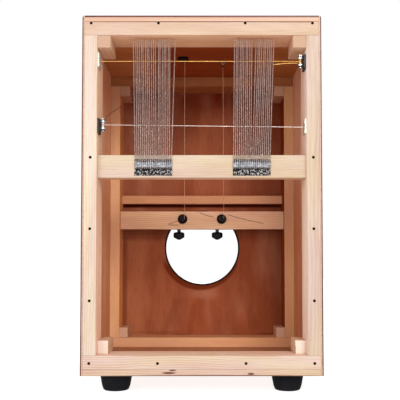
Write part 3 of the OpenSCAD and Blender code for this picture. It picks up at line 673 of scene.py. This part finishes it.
def soften(nodes, width):
    """Rounds the sharp edges of flat-sided CAD nodes a little."""
    for node in nodes:
        obj = frame["nodes"][node]
        weld = obj.modifiers.new("weld", "WELD")
        weld.merge_threshold = 0.00001
        flat = obj.modifiers.new("flat", "DECIMATE")
        flat.decimate_type = "DISSOLVE"
        flat.angle_limit = math.radians(1)
        bevel = obj.modifiers.new("bevel", "BEVEL")
        bevel.width = width
        bevel.segments = 2
        bevel.limit_method = "ANGLE"
        bevel.angle_limit = math.radians(40)
        bevel.use_clamp_overlap = False
        obj.modifiers.new("normals", "WEIGHTED_NORMAL")


# Node, grain axis (0, 1 or 2 for X, Y or Z), colour of the front plane and of the other faces; the
# two colours are lit and shaded copies of one pine, with each board's light and shade painted in
BOARDS = [
    ("front_rail_top", 0, (0.39, 0.305, 0.24), (0.72, 0.455, 0.31)),
    ("front_rail_bottom", 0, (0.42, 0.348, 0.31), (0.70, 0.53, 0.43)),
    ("front_stile_left", 2, (0.437, 0.388, 0.338), (0.80, 0.57, 0.43)),
    ("front_stile_right", 2, (0.38, 0.315, 0.275), (0.79, 0.65, 0.58)),
    ("rear_rail_top", 0, (0.377, 0.145, 0.06), (0.377, 0.145, 0.06)),
    ("rear_rail_bottom", 0, (0.59, 0.32, 0.18), (0.59, 0.32, 0.18)),
    ("rear_stile_left", 2, (0.66, 0.385, 0.22), (0.77, 0.36, 0.133)),
    ("rear_stile_right", 2, (0.57, 0.317, 0.18), (0.22, 0.034, 0.004)),
    ("front_corner_blocks", 1, (0.35, 0.225, 0.16), (0.64, 0.45, 0.33)),
    ("rear_corner_blocks", 1, (0.547, 0.34, 0.236), (0.547, 0.315, 0.21)),
    ("back_stiffener", 0, (0.54, 0.27, 0.158), (0.54, 0.27, 0.158)),
    ("snare_bar", 0, (0.39, 0.326, 0.27), (0.62, 0.42, 0.29)),
    ("tuner_bar", 0, (0.67, 0.445, 0.32), (0.56, 0.34, 0.21)),
]
CLEAR_RINGS = {"front_rail_bottom": 0.95, "tuner_bar": 0.9, "front_corner_blocks": 0.7,
               "front_stile_left": 0.6, "front_stile_right": 0.6}
# Colour of the sawn front ends of the recessed corner blocks, paler than the front plane's colour as
# painted light
BLOCK_ENDS_PAINTED_LIGHT = (0.60, 0.51, 0.46)
# Centre of each dent in the bottom panel's front edge, as X and Z, and its half width and height
BOTTOM_DENTS = [((-40.5 * MM, 26.9 * MM), (11.0 * MM, 1.8 * MM)),
                ((-36.0 * MM, 30.2 * MM), (6.0 * MM, 1.3 * MM)),
                ((60.5 * MM, 25.8 * MM), (5.6 * MM, 1.8 * MM)),
                ((20.0 * MM, 23.0 * MM), (190.0 * MM, 1.9 * MM))]
# Start and end of each dark line on the tuner bar, as X and Z
RESIN_LINES = [((x * MM, z * MM), (to_x * MM, to_z * MM)) for x, z, to_x, to_z in (
    (-54.5, 227.5, -39, 233), (-53.5, 226.5, -39, 225.5), (-3.5, 245.5, 18, 238.5),
    (42.5, 242.5, 58, 237.5), (58, 237.5, 75.5, 233.5), (75.5, 233.5, 98.5, 228.5))]


def dress_wood():
    for seed, (node, axis, face, flank_painted_light) in enumerate(BOARDS, 1):
        low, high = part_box(node)
        holes = [(x, z) for x, z in pilot_places()
                 if low.x < x < high.x and low.z < z < high.z and "front" in node]
        dress(pine(node + "_wood", axis, face, flank_painted_light, low, 1.37 * seed,
                   rings=CLEAR_RINGS.get(node, 0.4), holes=holes,
                   ends=BLOCK_ENDS_PAINTED_LIGHT if node == "front_corner_blocks" else None,
                   resin=RESIN_LINES if node == "tuner_bar" else ()), node)
    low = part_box("bottom_panel")[0]
    # The bottom panel's inner face takes a darker, more orange colour than its front edge, as
    # painted shade
    dress(pine("bottom_panel_wood", 0, (0.39, 0.30, 0.245), (0.42, 0.195, 0.10), low, 31.0, 0.8,
               dents=BOTTOM_DENTS), "bottom_panel")
    # The two side panels take their own tones of one plywood, the right one darker as painted shade,
    # and each upper half is lightened as painted light
    dress(side_look("side_left_wood", "side_panel_left", 40.0, (0.68, 0.33, 0.17),
                    (1.3, 1.55, 1.8)), "side_panel_left")
    dress(side_look("side_right_wood", "side_panel_right", 47.0, (0.53, 0.215, 0.10),
                    (1.45, 2.1, 2.9)), "side_panel_right")
    low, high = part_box("top_panel")

    def underside(look):
        return look.step(look.z, low.z + 0.5 * MM, low.z + 0.2 * MM)

    def edges(look):
        return look.math("MULTIPLY", look.step(look.z, low.z + 0.3 * MM, low.z + 0.6 * MM),
                         look.step(look.z, high.z - 2.0 * MM, high.z - 2.6 * MM))

    # The ceiling's raw underside is toned dark as painted shade, with the strips beside the side
    # walls lightened as painted light
    dress(panel("top_wood", 53.0, underside, (0.30, 0.064, 0.017), edges, up=0,
                sides=(1.55, 2.9, 3.9)), "top_panel")
    dress(back_look(61.0), "back_panel")
    soften([board[0] for board in BOARDS] + ["bottom_panel"], 0.5 * MM)
    soften(["side_panel_left", "side_panel_right", "top_panel", "back_panel"], 0.35 * MM)


def dress_hardware():
    steel = metal("zinc", (0.62, 0.62, 0.63), (0.40, 0.40, 0.42), (0.28, 0.45), 2.0)
    chrome = metal("chrome", (0.66, 0.68, 0.67), (0.36, 0.39, 0.38), (0.22, 0.36), 3.0,
                   (500, 500, 300), 0.6)
    plated = metal("anchor_plating", (0.64, 0.63, 0.56), (0.46, 0.46, 0.41), (0.35, 0.5), 9.0,
                   metallic=0.5)
    # The spool brackets are chrome; their near-black colour is a painted reflection of the dark
    # studio around them
    bracket = metal("bracket_dark_reflection", (0.022, 0.019, 0.020), (0.007, 0.005, 0.005), (0.55, 0.7),
                    14.0, (700, 700, 90), 0.25)
    bronze = metal("bronze_wire", (0.68, 0.42, 0.27), (0.48, 0.28, 0.17), (0.3, 0.45), 4.0,
                   metallic=0.3)
    # Dark brown metal for the wire turns round the tuner posts and for the right string's tie
    dark_metal = metal("dark_wire", (0.16, 0.10, 0.08), (0.08, 0.045, 0.03), (0.3, 0.45), 12.0)
    brass = metal("brass_wire", (0.66, 0.40, 0.13), (0.50, 0.27, 0.07), (0.25, 0.38), 5.0)
    black = metal("black_plating", (0.022, 0.022, 0.024), (0.009, 0.009, 0.010), (0.32, 0.48), 6.0,
                  metallic=0.3)
    worm = metal("worm_steel", (0.03, 0.03, 0.032), (0.010, 0.010, 0.011), (0.25, 0.4), 7.0,
                 metallic=0.4)
    wheel = metal("wheel_brass", (0.78, 0.56, 0.24), (0.60, 0.38, 0.14), (0.22, 0.36), 8.0)
    enamel = moulded("bushing_enamel", (0.004, 0.004, 0.005), (0.30, 0.42), 10.0, 0.1)
    dress(steel, "string_anchor_screws", "foot_screws", "tuner_mount_screws", "ceiling_eye")
    dress(plated, "string_anchors")
    dress(chrome, "spool_upper", "spool_lower")
    dress(plain_string_look(), "plain_string", "plain_string_turns")
    dress(bronze, "inner_string_left", "inner_string_right")
    dress(dark_metal, "inner_string_turns_left", "inner_string_turns_right")
    dress(brass, "wound_string_turns")
    dress(bracket, "spool_bracket_upper", "spool_bracket_lower")
    dress(black, "spool_bracket_screws", "tuner_housing_left", "tuner_housing_right",
          "tuner_covers")
    dress(enamel, "tuner_bushings", "tuner_post_left", "tuner_post_right", "ceiling_plate")
    dress(worm, "worm_shaft_left", "worm_shaft_right")
    dress(wheel, "worm_wheel_left", "worm_wheel_right")
    return brass, dark_metal


# ---- Snares ----

SNARE_COUNT = 20
COIL_R = 0.56 * MM
COIL_WIRE_R = 0.25 * MM
COIL_PITCH = 0.98 * MM
COIL_POINTS = 7


def snare_ends(node):
    """Foot, bend and head of each wire's centre line, read from the CAD wires."""
    points = np.array([v.co for v in frame["nodes"][node].data.vertices])
    points = np.unique(points.round(6), axis=0)
    ends = []
    for z in (points[:, 2].min(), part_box("snare_plates")[1].z, points[:, 2].max()):
        ring = points[np.abs(points[:, 2] - z) < 1.0 * MM]
        ring = ring.reshape(SNARE_COUNT, -1, 3)
        ends.append((ring.min(1) + ring.max(1)) / 2)
    return [[Vector(end) for end in wire] for wire in zip(*ends)]


def coil(shape, foot, bend, head, turn):
    """A helical spring wire along foot, bend and head."""
    lengths = [(bend - foot).length, (head - bend).length]
    total = sum(lengths)
    count = int(total / COIL_PITCH * COIL_POINTS)
    s = np.linspace(0, total, count)
    corner = np.array(bend)
    down = np.array((foot - bend).normalized())
    up = np.array((head - bend).normalized())
    along = s - lengths[0]
    centre = corner + np.where(along[:, None] < 0, -along[:, None] * down, along[:, None] * up)
    angle = 2 * math.pi * s / COIL_PITCH + turn
    across = np.array((1.0, 0.0, 0.0))
    depth = unit(np.cross(up, across))
    radial = across * np.cos(angle)[:, None] + depth * np.sin(angle)[:, None]
    shape.tube(centre + COIL_R * radial, COIL_WIRE_R, 5, radial)


def make_snares():
    look = metal("snare_steel", (0.57, 0.47, 0.435), (0.39, 0.32, 0.29), (0.30, 0.48), 11.0)
    for word in ("left", "right"):
        shape = Shape()
        for i, wire in enumerate(snare_ends("snare_wires_" + word)):
            coil(shape, *wire, 2.4 * i)
        shape.build("snare_coils_" + word, look, "snare_wire", replaced=["snare_wires_" + word])


def relief(shape, low, high, front, cells, ragged):
    """A slab from low to high whose front surface stands front(x, z) proud of its back."""
    columns, rows = cells
    x, z = np.meshgrid(np.linspace(low.x, high.x, columns), np.linspace(low.z, high.z, rows))
    rise = front(x, z)
    edge_x = 1 - smooth(np.minimum(x - low.x, high.x - x), 0, 0.8 * MM)
    edge_z = 1 - smooth(np.minimum(z - low.z, high.z - z), 0, 0.8 * MM)
    x = x + ragged * edge_x * bumps(x, z, 900, 3.3)
    z = z + ragged * edge_z * bumps(x, z, 700, 8.3)
    y = high.y - rise * (1 - 0.6 * np.maximum(edge_x, edge_z))
    face = np.stack([x, y, z], axis=-1)
    back = np.stack([x, np.full_like(x, high.y), z], axis=-1)
    loop = ([(0, c) for c in range(columns)] + [(r, columns - 1) for r in range(1, rows)]
            + [(rows - 1, c) for c in range(columns - 2, -1, -1)]
            + [(r, 0) for r in range(rows - 2, 0, -1)])
    rim = np.array([back[r, c] for r, c in loop])
    index = np.arange(rows * columns).reshape(rows, columns)
    faces = [[index[r, c], index[r, c + 1], index[r + 1, c + 1], index[r + 1, c]]
             for r in range(rows - 1) for c in range(columns - 1)]
    ring = [index[r, c] for r, c in loop]
    first = rows * columns
    size = len(loop)
    faces += [[ring[(k + 1) % size], ring[k], first + k, first + (k + 1) % size]
              for k in range(size)]
    faces.append([first + k for k in range(size - 1, -1, -1)])
    shape.add(np.concatenate([face.reshape(-1, 3), rim]), faces)


def make_plates():
    solder = solder_look()
    tape = tape_look()
    for side, word in ((-1, "left"), (1, "right")):
        low, high = half_box("snare_plates", side)
        feet = [wire[0].x for wire in snare_ends("snare_wires_" + word)]

        def solder_rise(x, z):
            fill = smooth(z, low.z + 1.0 * MM, low.z + 3.2 * MM)
            uneven = bumps(x, z, 260, 5.0 * side)
            top = high.z - 2.8 * MM + 1.6 * MM * uneven
            fill = fill * (1 - smooth(z, top - 1.4 * MM, top + 1.2 * MM))
            near = np.min([np.abs(x - foot) for foot in feet], axis=0)
            ridge = 0.45 * MM * np.exp(-(near / (0.8 * MM)) ** 2)
            blob = 0.25 * MM * bumps(x, z, 420, 2.0 * side)
            return 0.8 * MM + fill * (1.0 * MM + blob) + ridge * (0.4 + 0.6 * fill)

        shape = Shape()
        relief(shape, low, high, solder_rise, (170, 44), 0.5 * MM)
        shape.build("solder_plate_" + word, solder, "solder_plate", replaced=["snare_plates"])
        low, high = half_box("snare_tapes", side)

        def tape_rise(x, z):
            fold = np.abs(bumps(x, z, 210, 11.0 * side)) + 0.5 * np.abs(bumps(x, z, 520, 6.0))
            return 0.55 * MM + 1.1 * MM * fold

        shape = Shape()
        relief(shape, low, high, tape_rise, (130, 26), 0.6 * MM)
        shape.build("creased_tape_" + word, tape, "dark_tape", replaced=["snare_tapes"])


# ---- Strings ----

BALL_R = 1.8 * MM
BALL_W = 3.2 * MM
BALL_ROWS = 12
WOUND_R = 0.65 * MM
WINDING_PITCH = 0.42 * MM
WINDING_POINTS = 4
WINDING_DEPTH = 0.09 * MM
TAIL_POINTS = 90
WOUND_TAIL = [(0.1252, -0.1332, 0.4174), (0.117, -0.1315, 0.4183), (0.104, -0.1308, 0.4176),
              (0.091, -0.1302, 0.4162)]


def wound(shape, path_ends):
    """A straight string with its winding as fine ridges."""
    start, end = (np.array(p, float) for p in path_ends)
    span = np.linalg.norm(end - start)
    count = int(span / WINDING_PITCH * WINDING_POINTS)
    t = np.linspace(0, 1, count)[:, None]
    ridge = WOUND_R - WINDING_DEPTH * (np.arange(count) % WINDING_POINTS == 0)
    shape.tube(start + (end - start) * t, ridge, 10, (0.0, 0.0, 1.0))


def make_wound_string(finish):
    low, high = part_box("wound_string")
    y = low.y + BALL_W / 2
    z = high.z - BALL_R
    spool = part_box("spool_upper")
    ball_x = low.x + BALL_R
    shape = Shape()
    wound(shape, [(ball_x, y, z), ((spool[0].x + spool[1].x) / 2, y, z)])
    tail = bezier(WOUND_TAIL, TAIL_POINTS)
    ridge = WOUND_R - WINDING_DEPTH * (np.arange(TAIL_POINTS) % 3 == 0)
    shape.tube(tail, ridge, 10, (0.0, 0.0, 1.0))
    barrel = [(ball_x, y + dy, z) for dy in np.linspace(-BALL_W / 2, BALL_W / 2, BALL_ROWS)]
    bulge = BALL_R * np.sqrt(1 - np.linspace(-0.75, 0.75, BALL_ROWS) ** 2)
    shape.tube(barrel, bulge, 20, (0.0, 0.0, 1.0))
    shape.build("brass_string", finish, "brass_winding", replaced=["wound_string"])


def make_ceiling_ends(brass, dark_metal):
    """The ball that stops the left inner string, and the wraps and curl that tie the right one."""
    low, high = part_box("inner_string_left")
    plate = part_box("ceiling_plate")[0].z
    ball = [(0.0, 1.2), (0.7, 1.0), (1.15, 0.4), (1.2, 0.0), (1.15, -0.4), (0.7, -1.0), (0.0, -1.2)]
    shape = Shape()
    profile = [(r * MM + 1e-6, h * MM) for r, h in ball]
    shape.lathe(profile[::-1], (high.x - 0.3 * MM, low.y + 0.3 * MM, plate - 1.1 * MM), 20)
    shape.build("string_ball_left", brass, "brass_winding")
    low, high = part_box("inner_string_right")
    x, y, z = low.x + 0.3 * MM, low.y + 0.3 * MM, high.z
    angle = np.linspace(0, 14 * math.pi, 150)
    share = angle / angle[-1]
    wrap = np.stack([x + 0.62 * MM * np.cos(angle) + 0.1 * MM * share,
                     y + 0.62 * MM * np.sin(angle), z - 1.0 * MM - 4.6 * MM * share], axis=-1)
    angle = np.linspace(0, 5.2 * math.pi, 120)
    share = angle / angle[-1]
    size = (2.2 + 1.4 * np.sin(2.3 * angle)) * MM
    curl = np.stack([x + 0.7 * MM + size * np.cos(angle) + 5.0 * MM * share - 1.5 * MM,
                     y - 1.5 * MM - 2.5 * MM * share,
                     z - 4.5 * MM + 0.7 * size * np.sin(angle)], axis=-1)
    shape = Shape()
    shape.tube(wrap, 0.22 * MM, 6, (0.0, 0.0, 1.0))
    shape.tube(curl, 0.16 * MM, 6, (0.0, 1.0, 0.0))
    shape.build("string_tie_right", dark_metal, "plain_steel")


# ---- Tuner buttons ----

BUTTON_ROWS = 49
BUTTON_SIDES = 48
SQUARENESS = 2.7


def make_buttons():
    look = moulded("button_plastic", (0.004, 0.004, 0.0045), (0.22, 0.34), 3.0, 0.08, coat=0.03)
    # Share of the height from the top, half width and half thickness as shares of the CAD box
    outline = [(0.0, 0.18, 0.40), (0.0, 0.34, 0.55), (0.03, 0.68, 0.72), (0.10, 0.91, 0.86),
               (0.17, 0.995, 0.95), (0.30, 1.0, 1.0), (0.50, 1.0, 0.96), (0.65, 0.99, 0.91),
               (0.70, 0.92, 0.90), (0.78, 0.75, 0.87), (0.86, 0.56, 0.80), (0.93, 0.38, 0.66),
               (0.98, 0.24, 0.45), (1.0, 0.10, 0.25)]
    table = np.array(outline)
    steps = np.linspace(0, len(outline) - 1, BUTTON_ROWS)
    rows = np.stack([np.interp(steps, range(len(outline)), table[:, k]) for k in range(3)], -1)
    for word in ("left", "right"):
        low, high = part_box("tuner_button_" + word)
        centre = (low + high) / 2
        half = (high - low) / 2
        angle = 2 * math.pi * np.arange(BUTTON_SIDES) / BUTTON_SIDES
        bend = 2 / SQUARENESS
        cos, sin = np.cos(angle), np.sin(angle)
        wide = np.sign(cos) * np.abs(cos) ** bend
        thick = np.sign(sin) * np.abs(sin) ** bend
        points = np.stack([centre.x + half.x * rows[:, 1:2] * wide,
                           centre.y + half.y * rows[:, 2:3] * thick,
                           np.broadcast_to(high.z - 2 * half.z * rows[:, :1],
                                           (BUTTON_ROWS, BUTTON_SIDES))], -1)
        faces = [face[::-1] for face in strip_faces(BUTTON_ROWS, BUTTON_SIDES, capped=True)]
        Shape().add(points, faces).build("button_" + word, look, "black_plastic",
                                         "tuner_" + word + "_button", ["tuner_button_" + word])


# ---- Feet ----

FOOT_BASE_R = 17 * MM
FOOT_EDGE_R = 3.6 * MM
SCREW_BORE_R = 2.3 * MM


def make_feet():
    look = moulded("foot_rubber", (0.006, 0.006, 0.0075), (0.60, 0.75), 6.0, 0.04, grain=1400)
    for node in ("foot_front_left", "foot_front_right", "foot_rear_left", "foot_rear_right"):
        low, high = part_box(node)
        height = high.z - low.z
        top = (high.x - low.x) / 2
        taper = (top - FOOT_BASE_R) / (height - 1 * MM)
        rim = [(FOOT_BASE_R - FOOT_EDGE_R * (1 - math.sin(a)), FOOT_EDGE_R * (1 - math.cos(a)))
               for a in np.linspace(0, math.pi / 2 - 0.1, 8)]
        lip = [(FOOT_BASE_R + 0.25 * MM, 4.2 * MM), (FOOT_BASE_R + 0.75 * MM, 4.8 * MM),
               (FOOT_BASE_R + 0.95 * MM, 5.3 * MM), (FOOT_BASE_R + 0.75 * MM, 5.8 * MM)]
        wall = [(FOOT_BASE_R + taper * h, h) for h in np.linspace(6.6 * MM, height - 1.6 * MM, 8)]
        crown = [(top - 0.1 * MM, height - 0.9 * MM), (top - 0.35 * MM, height - 0.3 * MM),
                 (top - 1.0 * MM, height)]
        bore = [(SCREW_BORE_R, height), (SCREW_BORE_R, 10 * MM), (5.8 * MM, 10 * MM),
                (6.0 * MM, 9.8 * MM), (6.0 * MM, 0.6 * MM), (6.6 * MM, 0.0), (8.6 * MM, 0.0),
                (9.0 * MM, 0.5 * MM), (9.8 * MM, 0.5 * MM), (10.2 * MM, 0.0)]
        centre = ((low.x + high.x) / 2, (low.y + high.y) / 2, low.z)
        shape = Shape().lathe(rim + lip + wall + crown + bore, centre, 72)
        shape.build(node + "_rubber", look, "foot_rubber", replaced=[node])


# ---- Frayed block ----

SPLINTERS = 46


def make_splinters():
    """Torn fibres at the upper left corner of the lower right front block."""
    rng = random.Random(7)
    points = np.array([v.co for v in frame["nodes"]["front_corner_blocks"].data.vertices])
    chosen = points[(points[:, 0] > 0) & (points[:, 2] < 0.2)]
    low, high = chosen.min(0), chosen.max(0)
    shape = Shape()
    for k in range(SPLINTERS):
        if k % 2:
            root = Vector((rng.uniform(low[0], low[0] + 9 * MM), low[1] + rng.uniform(0, 1.2) * MM,
                           high[2] - 0.3 * MM))
            aim = Vector((rng.uniform(-0.7, 0.5), -rng.uniform(0.1, 0.9), rng.uniform(0.2, 1.0)))
        else:
            root = Vector((low[0] + 0.3 * MM, low[1] + rng.uniform(0, 1.2) * MM,
                           rng.uniform(high[2] - 6 * MM, high[2])))
            aim = Vector((-rng.uniform(0.2, 1.0), -rng.uniform(0.1, 0.9), rng.uniform(-0.5, 0.7)))
        reach = rng.uniform(0.6, 2.0) * MM
        bend = Vector((rng.uniform(-1, 1), rng.uniform(-1, 1), rng.uniform(-1, 1))) * 0.25
        t = np.linspace(0, 1, 5)[:, None]
        path = np.array(root) + reach * (t * np.array(aim) + t * t * np.array(bend))
        shape.tube(path, np.linspace(0.28, 0.05, 5) * MM * rng.uniform(0.6, 1.4), 5, (0.3, 0.2, 0.9))
    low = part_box("front_corner_blocks")[0]
    look = pine("splinter_wood", 1, (0.90, 0.76, 0.62), (0.90, 0.74, 0.60), low, 77.0)
    shape.build("block_splinters", look, "batten_wood")


place_camera()
light_scene()
lay_floor()
dress_wood()
brass, dark_metal = dress_hardware()
make_snares()
make_plates()
make_wound_string(brass)
make_ceiling_ends(brass, dark_metal)
make_buttons()
make_feet()
make_splinters()
